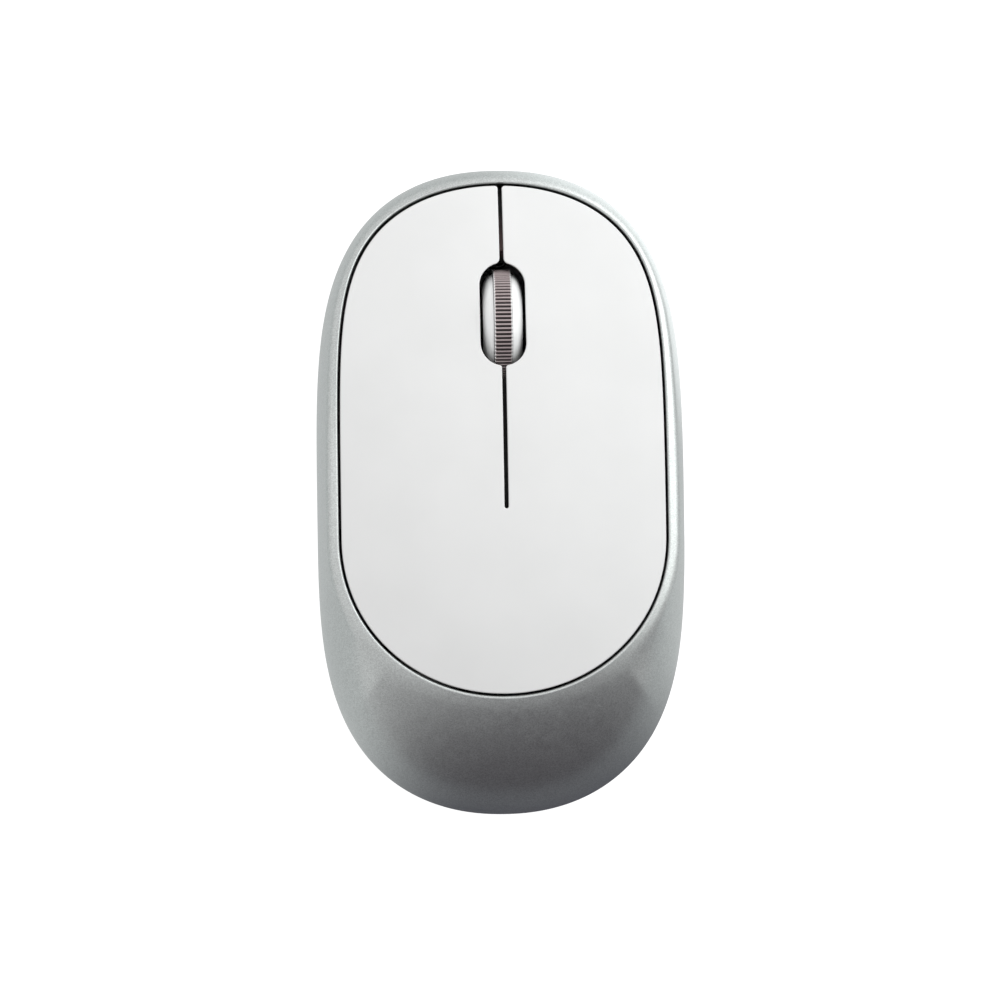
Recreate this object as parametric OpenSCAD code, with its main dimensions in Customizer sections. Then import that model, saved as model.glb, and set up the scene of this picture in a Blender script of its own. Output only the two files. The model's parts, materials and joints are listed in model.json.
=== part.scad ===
// Slim wireless mouse: a silver shell round a white top plate whose front is slit into two keys.
// Millimetres. X points to the user's right, Y forward and Z up; the origin is on the desk, under the
// middle of the mouse.

/* [Shell] */
// Length from tail to nose
shell_length = 108; // [106:0.5:110]
// Width at the widest section
shell_width = 61.4; // [60.6:0.2:63]
// Height of the top plate's crest above the desk
shell_height = 30; // [29.5:0.5:31.5]
// Wall thickness of the silver shell
shell_wall = 1.6; // [1.4:0.1:1.8]
// Width of the narrow shoulder round the top plate
shoulder_w = 1.9; // [1.6:0.1:2.2]
// Height of the widest level of the side wall
bulge_z = 9.5; // [9:0.25:10]

/* [Top plate] */
// Width of the white plate
plate_w = 53; // [52:0.2:53.4]
// Front end of the plate
plate_front = 51; // [50.5:0.1:51.2]
// Rear end of the plate
plate_rear = -32.6; // [-33:0.1:-32]
// Thickness of the plate
plate_t = 1.5; // [1.3:0.1:1.7]
// Gap between the plate and the shell
plate_gap = 0.4; // [0.3:0.05:0.5]
// Width of the slit between the keys
slit_w = 0.65; // [0.5:0.05:0.8]
// Rear end of the slit, where the keys flex
key_root = -2.4; // [-4:0.2:0]

/* [Scroll wheel] */
// Radius over the knurled band
wheel_r = 9.5; // [9.3:0.1:9.6]
// Width of the silver barrel
wheel_w = 6.5; // [6.1:0.1:6.6]
// Width of the knurled band
band_w = 2.9; // [2.5:0.1:3.1]
// Number of ridges on the band
band_teeth = 90; // [72:6:96]
// Distance of the wheel's axle ahead of the origin
wheel_y = 27.5; // [27.3:0.1:27.7]
// Height of the wheel's axle
wheel_z = 17.2; // [17:0.1:17.4]

/* [Base] */
// Height of the underside above the desk
base_z = 0.6; // [0.5:0.05:0.7]
// Thickness of the floor
floor_t = 1.6; // [1.4:0.1:1.8]
// Height of the seam between base and shell
seam_z = 3; // [2.8:0.1:3.2]

/* [Circuit board] */
// Height of the board's lower face
board_z = 7; // [6.8:0.1:7.2]
// Thickness of the board
board_t = 1.2; // [1:0.1:1.4]

/* [Battery] */
// Radius of the AA cell
cell_r = 7.1; // [7:0.05:7.2]
// Sideways position of the cell's axis
cell_x = 3; // [2.8:0.1:3.2]

/* [Hidden] */
$fn = 48;

RAYS = 96;              // corners of every smooth outline
clear = 0.05;           // working gap between neighbouring pieces
crest_y = -10;          // where the top plate is highest
fall_y = 0.00368;       // how fast the plate falls away along its length, 1/mm
fall_x = 0.004;         // how fast it falls away across its width, 1/mm
under_depth = 4.6;      // how far the lower side wall leans in under the bulge
under_h = 9.2;          // height of that lean's quarter ellipse
shoulder_tilt = 6;      // extra slope of the shoulder beyond the plate's own
knee_r = 0.9;           // length of the rounding between shoulder and side wall
lip_h = 1.9;            // depth of the shell's inner lip round the plate
floor_z = base_z + floor_t;
board_top = board_z + board_t;
deck_drop = 3.4;        // deck's upper face below the plate's upper face
deck_t = 1.2;
rib_drop = 2.5;         // rib under the slit, likewise
join = 0.2;             // how far the features of one piece run into each other
stand = 0.02;           // gap under what stands on the board
slot_x = 0.4;           // how far right of the middle the slit and the wheel are
slot_w = 7.5;           // wheel opening in the plate
slot_l = 17;
slot_y = 29.4;          // its middle, ahead of the axle because the plate slopes down
slot_flare = 1.1;       // funnel where the slit meets the wheel opening

// An outline is [half width, front end, rear end, y of the widest point, and the exponents of its
// front and rear quarters across and along].
body_line = [shell_width/2, shell_length/2, -shell_length/2, -5, 2.25, 4.05, 2.15, 3.35];
plate_line = [plate_w/2, plate_front, plate_rear, -7, 2.02, 5.8, 2.03, 2.08];
open_line = inset(plate_line, -plate_gap);

// Pegs under the palm cover, glide feet as [x, y, turn], and posts for the board
palm_pegs = [[-17, -8], [17, -8], [-11, -26], [11, -26]];
peg_r = 1.5;
feet_at = [[-18.2, 38, -28], [18.2, 38, 28], [-19.6, -37.6, 30], [19.6, -37.6, -30]];
foot_w = 5;
foot_l = 14;
foot_proud = 0.13;      // how far a foot is let into the base
board_posts = [[-19, 24], [19, 24], [-19.5, -4.5], [19, 11]];

// Screws as [head radius, head height, shank radius, shank length, slot width]
case_screw = [1.9, 1.3, 0.78, 6.5, 0.5];
board_screw = [1.6, 1.1, 0.68, 4, 0.4];
boss_r = 2.4;           // bosses of the case screws
pilot_r = 0.8;          // pilot holes in those bosses
pilot_l = 8;
boss_z = floor_z + 2.4; // lower end of those bosses

// Positions of the inner parts
switch_x = 12.2;
switch_y = 36.4;        // middle of a key switch
plunger_y = 38;         // plunger of a key switch
switch_size = [5.8, 12.8, 6.5];
plunger_top = board_top + 7.3;
pivot_y = 15.8;         // carrier pivot
pivot_z = 11.6;
pivot_r = 1.2;
spring_z = [3.25, 10.55]; // ends of the spring under the carrier's front bar
bearing_r = 1.05;
axle_r = 1;
arm_x = 4.2;            // inner face of the carrier's arms
arm_t = 1.2;
front_bar_y = wheel_y + 12.1;
tact_at = [11.2, 23.5];
ir_at = [wheel_y + 3, wheel_z - 2.5]; // encoder light beam
ir_x = 7.6;
sensor_y = 12.6;
lens_port = [6, 9];     // opening under the sensor
chip_size = [9.8, 8.8, 1.4];
led_at = [-8, 11.2, board_top + 2.1];
led_r = 1.45;
radio_at = [-16.5, 16.5];
radio_side = 5;
crystal_at = [-19.5, 8];
crystal_size = [3, 7, 2.4];
cans = [[16.5, 17.5, 2, 5], [11, 12, 1.6, 4]]; // x, y, radius and height
small_caps = [[-10.5, -5], [-10.5, -2.5], [-10.5, 4]];
front_boss = [18.6, 37];
rear_boss = [19.8, -37];
cell_z = floor_z + 0.45 + cell_r;
cell_rear = -44.6;
cell_l = 49.2;
bay_x = [cell_x - 7.6, cell_x + 7.6];
bay_y = [-47.4, 6.3];
door_x = [cell_x - 8, cell_x + 8];
door_y = [-46.8, 6.6];
door_z = [base_z, base_z + 1.4];
bay_wall = 1.2;
contact_t = 0.3;        // sheet of the battery contacts
wire_route = [[-1, -47.2, 15.4], [-1.6, -47, 16.4], [-4.4, -45.6, 16.6], [-6.8, -42, 14.6],
    [-6.9, -37, 11.5], [-6.9, -26, 10.4], [-6.9, -15, 10.2], [-7.4, -10, 10], [-8.4, -7.2, 9.6],
    [-8.6, -6.6, 8.25]];
wire_r = 0.5;
receiver_at = [-12.6, -26];
receiver_size = [6.2, 14.2, 6];
plug_size = [4.5, 12, 11.6];
plug_t = 0.3;
well_h = 19;
power_at = [-14, 1];
slider_travel = 1.2;    // half of the slider's travel
pin_pitch = 2.5;        // pins of the power switch

// Wheel: what is inside the barrel
rim_r = 6.9;            // inside of the barrel, where the hub's rim fits
rim_w = 2.2;            // half width of that rim
flange_r = 5;           // inside of the barrel's side flanges
crown = 3.6;            // exponent of the barrel's rounded section
barrel_drop = 0.6;      // barrel's middle below the band's ridges
band_depth = 1.2;       // channel for the knurled band
groove = 0.28;          // depth of its grooves
spring_r = 1.75;
spring_wire = 0.22;

function inset(line, by) =
    [line[0] - by, line[1] - by, line[2] + by, line[3], line[4], line[5], line[6], line[7]];

// How far past an outline a point lies: over 1 is outside.
function outline_value(line, p) =
    let (front = p.y > line[3], depth = front ? line[1] - line[3] : line[3] - line[2])
    pow(abs(p.x)/line[0], line[front ? 4 : 6]) + pow(abs(p.y - line[3])/depth, line[front ? 5 : 7]);

// Distance from the origin to the outline along a direction, by halving.
function reach(line, dir, low = 0, high = 90, steps = 26) =
    let (mid = (low + high)/2)
    steps == 0 ? mid
    : outline_value(line, mid*dir) > 1 ? reach(line, dir, low, mid, steps - 1)
    : reach(line, dir, mid, high, steps - 1);

// Directions whose outline points are spaced about evenly.
directions = [for (i = [0:RAYS - 1])
    let (a = 360*i/RAYS, v = [shell_width*cos(a), shell_length*sin(a)]) v/norm(v)];

function outline_points(line) = [for (d = directions) d*reach(line, d)];

function plate_z(p) = shell_height - fall_y*pow(p.y - crest_y, 2) - fall_x*pow(p.x, 2);

// Inward lean of the side wall at a height under the bulge
function lean(z) = under_depth*(1 - sqrt(1 - pow((bulge_z - z)/under_h, 2)));

function bezier(a, b, c, d, t) =
    pow(1 - t, 3)*a + 3*pow(1 - t, 2)*t*b + 3*(1 - t)*t*t*c + pow(t, 3)*d;

// Curve in [distance, height] from a, leaving at a downward tilt, to b, where it is vertical
function wall_curve(a, b, tilt, ts) =
    let (turn = 90 - tilt, h = norm(b - a)*2/3*tan(turn/4)/sin(turn/2),
         c1 = a + h*[cos(tilt), -sin(tilt)], c2 = b + [0, h])
    [for (t = ts) bezier(a, c1, c2, b, t)];

function wall_tilt(a, b, least) = max(least, 2*atan2(a.y - b.y, b.x - a.x) - 90);

// Outer side of the shell along one direction: the edge at the plate, the shoulder, the knee, the
// wall down to the bulge, and the lean in to the seam.
function outer_side(dir) =
    let (r0 = reach(open_line, dir), r1 = reach(body_line, dir), z0 = plate_z(r0*dir),
         slope = atan(z0 - plate_z((r0 + 1)*dir)) + shoulder_tilt,
         w = min(shoulder_w, (r1 - r0)/2),
         edge = [r0, z0], along = [cos(slope), -sin(slope)],
         knee = edge + w/cos(slope)*along, foot = [r1, bulge_z],
         tilt = wall_tilt(knee, foot, slope + 3),
         turn = 90 - tilt, h = norm(foot - knee)*2/3*tan(turn/4)/sin(turn/2),
         before = knee - min(knee_r, 0.6*w)*along, u = min(0.3, knee_r/(3*h)),
         after = wall_curve(knee, foot, tilt, [u])[0])
    concat([edge + [0, -0.15], edge + 0.15*along],
        [for (t = [0, 0.33, 0.67]) pow(1 - t, 2)*before + 2*(1 - t)*t*knee + t*t*after],
        wall_curve(knee, foot, tilt, [for (i = [0:6]) u + (1 - u)*i/6]),
        [for (z = [7, 5, seam_z]) [r1 - lean(z), z]]);

function inner_side(dir) =
    let (r0 = reach(open_line, dir), r1 = reach(body_line, dir), z0 = plate_z(r0*dir),
         top = [r0, z0 - lip_h], foot = [r1 - shell_wall, bulge_z],
         slope = atan(z0 - plate_z((r0 + 1)*dir)))
    concat([for (z = [seam_z, 5, 7]) [r1 - shell_wall - lean(z), z]],
        wall_curve(top, foot, wall_tilt(top, foot, slope), [1, 0.85, 0.7, 0.5, 0.3, 0.15, 0]));

function ring_faces(a, b) = [for (i = [0:RAYS - 1])
    let (j = (i + 1) % RAYS) each [[a + i, b + j, b + i], [a + i, a + j, b + j]]];

// Closed band: sides is a list of [distance, height] loops, one for each direction.
module band(sides) {
    n = len(sides[0]);
    points = [for (k = [0:n - 1]) for (i = [0:RAYS - 1])
        [directions[i].x*sides[i][k].x, directions[i].y*sides[i][k].x, sides[i][k].y]];
    polyhedron(points, [for (k = [0:n - 1]) each ring_faces(k*RAYS, ((k + 1) % n)*RAYS)]);
}

// Closed dome or tray: rings run from the middle of the top, over the edge, to the middle of the
// bottom, and each is a list of points.
module dome(top, rings, bottom) {
    n = len(rings);
    first = 2 + (n - 1)*RAYS;
    points = concat([top, bottom], [for (r = rings) each r]);
    polyhedron(points, concat(
        [for (i = [0:RAYS - 1]) [0, 2 + (i + 1) % RAYS, 2 + i]],
        [for (k = [0:n - 2]) each ring_faces(2 + k*RAYS, 2 + (k + 1)*RAYS)],
        [for (i = [0:RAYS - 1]) [1, first + i, first + (i + 1) % RAYS]]));
}

// One ring on the plate's surface: a share of an outline, lowered by drop
function plate_ring(line, share, drop) = [for (p = outline_points(line))
    let (q = share*p) [q.x, q.y, plate_z(q) - drop]];

module plate_layer(line, drop, t, edge) {
    dome([0, 0, plate_z([0, 0]) - drop],
        [for (s = [0.2, 0.4, 0.6, 0.8]) plate_ring(line, s, drop),
         plate_ring(inset(line, edge), 1, drop),
         plate_ring(line, 1, drop + edge), plate_ring(line, 1, drop + t),
         for (s = [0.75, 0.5, 0.25]) plate_ring(line, s, drop + t)],
        [0, 0, plate_z([0, 0]) - drop - t]);
}

module rounded(size, r) {
    offset(r) square([size.x - 2*r, size.y - 2*r], center = true);
}

module stadium(w, l) {
    hull() for (s = [-1, 1]) translate([0, s*(l - w)/2]) circle(w/2);
}

// Extrudes a [y, z] outline along X
module along_x(x0, x1) {
    translate([x0, 0, 0]) rotate([90, 0, 90]) linear_extrude(x1 - x0) children();
}

module rod_x(x0, x1, y, z, r) {
    translate([x0, y, z]) rotate([0, 90, 0]) cylinder(r = r, h = x1 - x0);
}

module block(low, high) {
    translate(low) cube(high - low);
}

module mirrored_x() {
    children();
    mirror([1, 0, 0]) children();
}

// Tube swept along points, each with its own frame across the path
module swept(path, r, sides = 6) {
    n = len(path);
    rings = [for (i = [0:n - 1])
        let (t = path[min(i + 1, n - 1)] - path[max(i - 1, 0)], f = t/norm(t),
             u0 = cross(f, [0, 0, 1]), u = norm(u0) < 0.01 ? [1, 0, 0] : u0/norm(u0), v = cross(u, f))
        each [for (k = [0:sides - 1]) path[i] + r*(cos(360*k/sides)*u + sin(360*k/sides)*v)]];
    polyhedron(rings, concat(
        [[for (k = [sides - 1:-1:0]) k]],
        [for (i = [0:n - 2]) for (k = [0:sides - 1])
            let (a = i*sides + k, b = i*sides + (k + 1) % sides)
            each [[a, b + sides, a + sides], [a, b, b + sides]]],
        [[for (k = [0:sides - 1]) (n - 1)*sides + k]]));
}

module shell() color("silver") difference() {
    union() {
        band([for (d = directions) concat(outer_side(d), inner_side(d))]);
        // rear screw bosses, joined to the wall above them
        intersection() {
            dome([0, 0, shell_height - 2], [for (i = [4:11]) [for (d = directions) within_wall(d, i)]],
                [0, 0, bulge_z - 6]);
            mirrored_x() translate([rear_boss.x, rear_boss.y, boss_z]) cylinder(r = boss_r, h = 22);
        }
    }
    mirrored_x() translate([rear_boss.x, rear_boss.y, floor_z]) cylinder(r = pilot_r, h = pilot_l);
}

// Point number i of the outer side, moved inwards by half of the wall
function within_wall(dir, i) =
    let (s = outer_side(dir)[i], r = s.x - shell_wall/2) [r*dir.x, r*dir.y, s.y];

module inner_deck() color("dimgray") difference() {
    union() {
        plate_layer(inset(open_line, 0.5), deck_drop, deck_t, 0.2);
        mirrored_x() translate([front_boss.x, front_boss.y, boss_z])
            cylinder(r = boss_r, h = plate_z(front_boss) - deck_drop - boss_z - 0.5);
        // rib under the slit, ahead of the wheel
        intersection() {
            plate_layer(inset(open_line, 1.5), rib_drop, deck_drop - rib_drop + join, 0.1);
            block([slot_x - 1.5, slot_y + slot_l/2 + 2, 0], [slot_x + 1.5, plate_front - 1.5, 40]);
        }
    }
    mirrored_x() translate([front_boss.x, front_boss.y, floor_z]) cylinder(r = pilot_r, h = pilot_l);
    mirrored_x() translate([switch_x, switch_y, 10]) linear_extrude(16)
        square([switch_size.x + 1, switch_size.y + 1.2], center = true);
    translate([slot_x, slot_y, 10]) linear_extrude(16) stadium(slot_w + 1.4, slot_l + 4.4);
    for (p = palm_pegs) translate([p.x, p.y, 10]) cylinder(r = peg_r + clear, h = 20);
}

module plate_body() {
    plate_layer(plate_line, 0, plate_t, 0.3);
}

module palm_cover() color("white") {
    intersection() {
        plate_body();
        block([-40, -60, 0], [40, key_root - 0.15, 40]);
    }
    for (p = palm_pegs)
        translate([p.x, p.y, plate_z(p) - deck_drop - deck_t - 0.8])
            cylinder(r = peg_r, h = deck_drop + deck_t + 0.8 - plate_t/2);
}

// The opening round the wheel and the slit that leads into it
module key_cut() translate([slot_x, 0, 0]) {
    front = slot_y + slot_l/2;
    translate([0, slot_y, 0]) linear_extrude(60) stadium(slot_w, slot_l);
    block([-slit_w/2, key_root - 1, 0], [slit_w/2, 60, 60]);
    linear_extrude(60) polygon([[-slot_flare, front - 0.35], [slot_flare, front - 0.35],
        [slit_w/2, front + 0.75], [-slit_w/2, front + 0.75]]);
}

// side is -1 for the left key and 1 for the right one
module key(side) color("white") {
    difference() {
        intersection() {
            plate_body();
            block([side < 0 ? -40 : slot_x, key_root, 0], [side < 0 ? slot_x : 40, 60, 40]);
        }
        key_cut();
    }
    translate([side*switch_x, plunger_y, plunger_top + clear])
        cylinder(r = peg_r, h = plate_z([switch_x, plunger_y]) - plate_t/2 - plunger_top - clear);
}

module left_key() key(-1);

module right_key() key(1);

module base_tray() color("gainsboro") difference() {
    union() {
        dome([0, 0, floor_z],
            [base_ring(lean(seam_z) + 1.9, floor_z), base_ring(lean(seam_z) + 1.3, seam_z - 0.2),
             base_ring(lean(seam_z - 0.2), seam_z - 0.2), base_ring(lean(1.8), 1.8),
             base_ring(lean(1), 1), base_ring(lean(base_z), base_z)],
            [0, 0, base_z]);
        // lip that centres the shell
        translate([0, 0, floor_z - join]) linear_extrude(2.6 + join) difference() {
            polygon(flat(base_ring(3.1, 0)));
            polygon(flat(base_ring(4.1, 0)));
        }
        mirrored_x() for (p = [front_boss, rear_boss])
            translate([p.x, p.y, floor_z - join]) cylinder(r = 3, h = 2.5);
        battery_bay();
        // receiver well
        translate([receiver_at.x, receiver_at.y, base_z]) linear_extrude(well_h)
            square([receiver_size.x + 2.8, receiver_size.y + 2.8], center = true);
        // board posts
        for (p = board_posts) translate([p.x, p.y, floor_z - join])
            cylinder(r = 1.9, h = board_z - floor_z + join - clear);
        // carrier pivot posts
        mirrored_x() block([6, pivot_y - 1.8, floor_z - join], [7.8, pivot_y + 1.8, pivot_z + 2.4]);
        // spring seat and post
        translate([0, front_bar_y, floor_z - join]) cylinder(r = 2.6, h = 1.2);
        translate([0, front_bar_y, floor_z]) cylinder(r = 1.2, h = 2.2);
    }
    mirrored_x() for (p = [front_boss, rear_boss]) translate([p.x, p.y, 0]) {
        cylinder(r = case_screw[2] + 0.32, h = 8);
        cylinder(r = case_screw[0] + 0.2, h = floor_z + 0.7);
    }
    for (p = board_posts) translate([p.x, p.y, floor_z + 0.5]) cylinder(r = 0.7, h = 6);
    rod_x(-9, 9, pivot_y, pivot_z, pivot_r + clear);
    // openings in the floor: sensor, cell, receiver and power slider
    translate([0, sensor_y, -1]) linear_extrude(6) stadium(lens_port.x, lens_port.y);
    translate([cell_x, (door_y[0] + door_y[1])/2, -1]) linear_extrude(3.6)
        rounded([door_x[1] - door_x[0] + 0.5, door_y[1] - door_y[0] + 0.5], 3);
    translate([receiver_at.x, receiver_at.y, -1]) linear_extrude(well_h + 0.5)
        square([receiver_size.x + 0.3, receiver_size.y + 0.3], center = true);
    block([power_at.x - 2.7, power_at.y - 3.8, -1], [power_at.x + 2.7, power_at.y + 3.8, 5]);
    for (f = feet_at) translate([f.x, f.y, base_z - 1]) rotate(f.z)
        linear_extrude(1 + foot_proud + stand) stadium(foot_w + 0.3, foot_l + 0.3);
}

// Ring of points in from the body's outline, at a height
function base_ring(by, z) = [for (d = directions) let (r = reach(body_line, d) - by) [r*d.x, r*d.y, z]];

function flat(points) = [for (p = points) [p.x, p.y]];

// Walls round the AA cell, open below to the door
module battery_bay() {
    low = floor_z - join;
    for (x = [bay_x[0] - bay_wall, bay_x[1]])
        block([x, bay_y[0] + 1, low], [x + bay_wall, bay_y[1], cell_z + 3]);
    block([bay_x[0], bay_y[0] - 1, low], [bay_x[1] - 1, bay_y[0], cell_z + 5]);
    block([bay_x[0] - bay_wall, bay_y[1], low], [bay_x[1] + bay_wall, bay_y[1] + bay_wall, cell_z + 5]);
}

module battery_door() color("gainsboro") {
    translate([cell_x, (door_y[0] + door_y[1])/2, door_z[0]]) linear_extrude(door_z[1] - door_z[0])
        rounded([door_x[1] - door_x[0], door_y[1] - door_y[0] - 0.2], 2.8);
    // stiffening ribs that carry the cell
    for (y = [-34, -20, -6])
        block([cell_x - 4, y - 0.6, door_z[1] - join], [cell_x + 4, y + 0.6, floor_z + 0.3]);
}

module glide_feet() color("whitesmoke") for (f = feet_at)
    translate([f.x, f.y, 0]) rotate(f.z) linear_extrude(base_z + foot_proud) stadium(foot_w, foot_l);

// Cross-slotted screw, its head at the bottom
module screw(size) {
    difference() {
        cylinder(r = size[0], h = size[1]);
        for (a = [0, 90]) rotate(a) translate([-0.58*size[0], -size[4]/2, -0.1])
            cube([1.16*size[0], size[4], size[1]/2 + 0.1]);
    }
    translate([0, 0, size[1] - 0.05]) cylinder(r = size[2], h = size[3] + 0.05);
}

module case_screws() color("dimgray") mirrored_x() for (p = [front_boss, rear_boss])
    translate([p.x, p.y, floor_z + 0.7 - case_screw[1]]) screw(case_screw);

module sensor_lens() color("lightcyan") translate([0, sensor_y, 0]) {
    translate([0, 0, floor_z + clear]) linear_extrude(1) rounded([11, 9.8], 1);
    translate([0, 0, floor_z + 1]) cylinder(r = 2.2, h = board_z - floor_z - 1.1);
    translate([0, 0, floor_z - 0.9]) linear_extrude(1) stadium(lens_port.x - 0.6, lens_port.y - 0.6);
}

module power_slider() color("dimgray") {
    x = power_at.x;
    y = power_at.y - slider_travel;
    difference() {
        block([x - 2.5, y - 2.4, base_z + 0.2], [x + 2.5, y + 2.4, floor_z + 0.1]);
        for (i = [-1.5:0.75:1.5])
            block([x - 3, y + i - 0.15, base_z], [x + 3, y + i + 0.15, base_z + 0.5]);
    }
    block([x - 3.6, y - 3.3, floor_z + clear], [x + 3.6, y + 3.3, floor_z + 0.65]);
    block([x - 0.9, y - 0.7, floor_z + 0.5], [x + 0.9, y + 0.7, floor_z + 2.2]);
}

module power_switch() color("silver") {
    x = power_at.x;
    y = power_at.y;
    difference() {
        block([x - 2.2, y - 4.6, floor_z + 1.1], [x + 2.2, y + 4.6, board_z - clear]);
        block([x - 1.1, y - 2.4, floor_z + 1], [x + 1.1, y + 2.4, floor_z + 2.5]);
    }
    for (i = [-pin_pitch, 0, pin_pitch])
        block([x - 0.3, y + i - 0.2, board_z - join], [x + 0.3, y + i + 0.2, board_top + 0.6]);
}

module circuit_board() color("darkgreen") translate([0, 0, board_z]) linear_extrude(board_t) difference() {
    polygon([[-22.5, -8], [-6.6, -8], [-6.6, 8], [22, 8], [22, 33], [15.9, 33.6], [15.9, 43], [14, 44.5],
        [6.4, 44.5], [6.4, 18.6], [-6.4, 18.6], [-6.4, 44.5], [-14, 44.5], [-15.9, 43], [-15.9, 33.6],
        [-22.5, 33]]);
    for (s = [-1, 1]) translate([s*6.9, pivot_y]) square([2.3, 4.2], center = true);
    translate([0, sensor_y]) circle(2.6);
    for (p = board_posts) translate(p) circle(0.95);
    for (i = [-pin_pitch, 0, pin_pitch]) translate([power_at.x, power_at.y + i])
        square([0.8, 0.6], center = true);
}

// Flat package at a place on the board, with a row of legs down each side
module chip(at, size, legs, leg) translate([at.x, at.y, board_top]) {
    block([-size.x/2, -size.y/2, 0.1], [size.x/2, size.y/2, size.z]);
    for (s = [-1, 1]) for (y = legs) translate([s*(size.x/2 + leg.x/2 - 0.1), y, stand])
        linear_extrude(leg.z - stand) square([leg.x, leg.y], center = true);
}

module sensor_chip() color("darkslategray")
    chip([0, sensor_y], chip_size, [-3:1.5:3], [0.9, 0.5, 0.5]);

module sensor_led() color("red") {
    rod_x(led_at.x - 3.5, led_at.x, led_at.y, led_at.z, led_r);
    translate(led_at) sphere(r = led_r);
    rod_x(led_at.x - 4.1, led_at.x - 3.5, led_at.y, led_at.z, led_r + 0.25);
    for (s = [-1, 1]) translate([led_at.x, led_at.y + s*0.7, 0]) {
        block([-5.4, -0.2, board_top + stand], [-5, 0.2, led_at.z + 0.2]);
        block([-5.4, -0.2, led_at.z - 0.2], [-4, 0.2, led_at.z + 0.2]);
    }
}

module radio_chip() color("darkslategray")
    chip(radio_at, [radio_side, radio_side, 1.1], [-1.8:0.9:1.8], [0.7, 0.36, 0.4]);

module crystal() color("silver") translate([crystal_at.x, crystal_at.y, board_top + stand])
    linear_extrude(crystal_size.z) stadium(crystal_size.x, crystal_size.y);

module capacitors() color("steelblue") translate([0, 0, board_top + stand]) {
    for (c = cans) translate([c.x, c.y, 0]) cylinder(r = c[2], h = c[3]);
    for (c = small_caps) translate([c.x, c.y, 0]) cube([2, 1.1, 0.88]);
}

module board_screws() color("silver") for (p = board_posts)
    translate([p.x, p.y, board_top + clear + board_screw[1]]) mirror([0, 0, 1]) screw(board_screw);

// Snap switch under a key, with a well for its plunger
module key_switch(side) color("black") {
    x = side*switch_x;
    half = switch_size.x/2;
    difference() {
        block([x - half, switch_y - switch_size.y/2, board_top + clear],
            [x + half, switch_y + switch_size.y/2, board_top + switch_size.z]);
        block([x - 1.6, plunger_y - 0.85, plunger_top - 2.4], [x + 1.6, plunger_y + 0.85, plunger_top]);
        for (s = [-1, 1]) block([x + s*half - 0.15, switch_y - 7, board_top + 3.1],
            [x + s*half + 0.15, switch_y + 7, board_top + 3.3]);
    }
}

module left_switch() key_switch(-1);

module right_switch() key_switch(1);

module key_plunger(side) color("red")
    block([side*switch_x - 1.45, plunger_y - 0.7, plunger_top - 1.5],
        [side*switch_x + 1.45, plunger_y + 0.7, plunger_top]);

module left_plunger() key_plunger(-1);

module right_plunger() key_plunger(1);

module middle_switch() color("black") translate([tact_at.x, tact_at.y, board_top + clear]) difference() {
    linear_extrude(3.4) rounded([6, 6], 0.5);
    translate([0, 0, 2.4]) cylinder(r = 1.75, h = 2);
}

module middle_plunger() color("ivory") translate([tact_at.x, tact_at.y, board_top + 2.9])
    cylinder(r = 1.65, h = pivot_z + 1.25 - board_top - 2.9);

// Turns a part made round Z so that it lies round the wheel's axle
module on_axle() {
    translate([slot_x, wheel_y, wheel_z]) rotate([0, 90, 0]) children();
}

// Radius of the barrel at a distance from its middle plane
function barrel_r(x) = (wheel_r - barrel_drop)*pow(1 - pow(abs(x)/(wheel_w/2 + 0.35), crown), 1/crown);

module wheel_barrel() color("silver") on_axle() rotate_extrude() difference() {
    polygon([[rim_r, -rim_w], [flange_r, -rim_w], [flange_r, -wheel_w/2],
        for (i = [-6:6]) [barrel_r(i*wheel_w/12), i*wheel_w/12],
        [flange_r, wheel_w/2], [flange_r, rim_w], [rim_r, rim_w]]);
    translate([wheel_r - band_depth, -band_w/2 - stand]) square([3, band_w + 2*stand]);
}

// Knurled ring: a row of ridges round the wheel, each with a flat crest
module wheel_band() color("slategray") on_axle() linear_extrude(band_w, center = true) difference() {
    pitch = 360/band_teeth;
    root_r = wheel_r - groove;
    corners = [[-0.5, root_r], [-0.3, root_r], [-0.12, wheel_r], [0.3, wheel_r]];
    polygon([for (i = [0:band_teeth - 1]) for (c = corners)
        let (a = (i + c[0])*pitch) c[1]*[cos(a), sin(a)]]);
    circle(wheel_r - band_depth + stand);
}

module wheel_hub() color("dimgray") on_axle() difference() {
    union() {
        rotate_extrude() translate([rim_r - 0.6, -rim_w + 0.03]) square([0.58, 2*rim_w - 0.06]);
        translate([0, 0, -0.7]) cylinder(r = rim_r - 0.3, h = 1.4);
        translate([0, 0, -arm_x + clear - slot_x]) cylinder(r = 2.1, h = 2*(arm_x - clear));
    }
    translate([0, 0, -5]) cylinder(r = axle_r + stand/2, h = 10);
    for (a = [0:30:330]) rotate(a) translate([2.8, -0.5, -2]) cube([2.4, 1, 4]);
}

module wheel_axle() color("silver") rod_x(-6.8, 6.8, wheel_y, wheel_z, axle_r);

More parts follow.
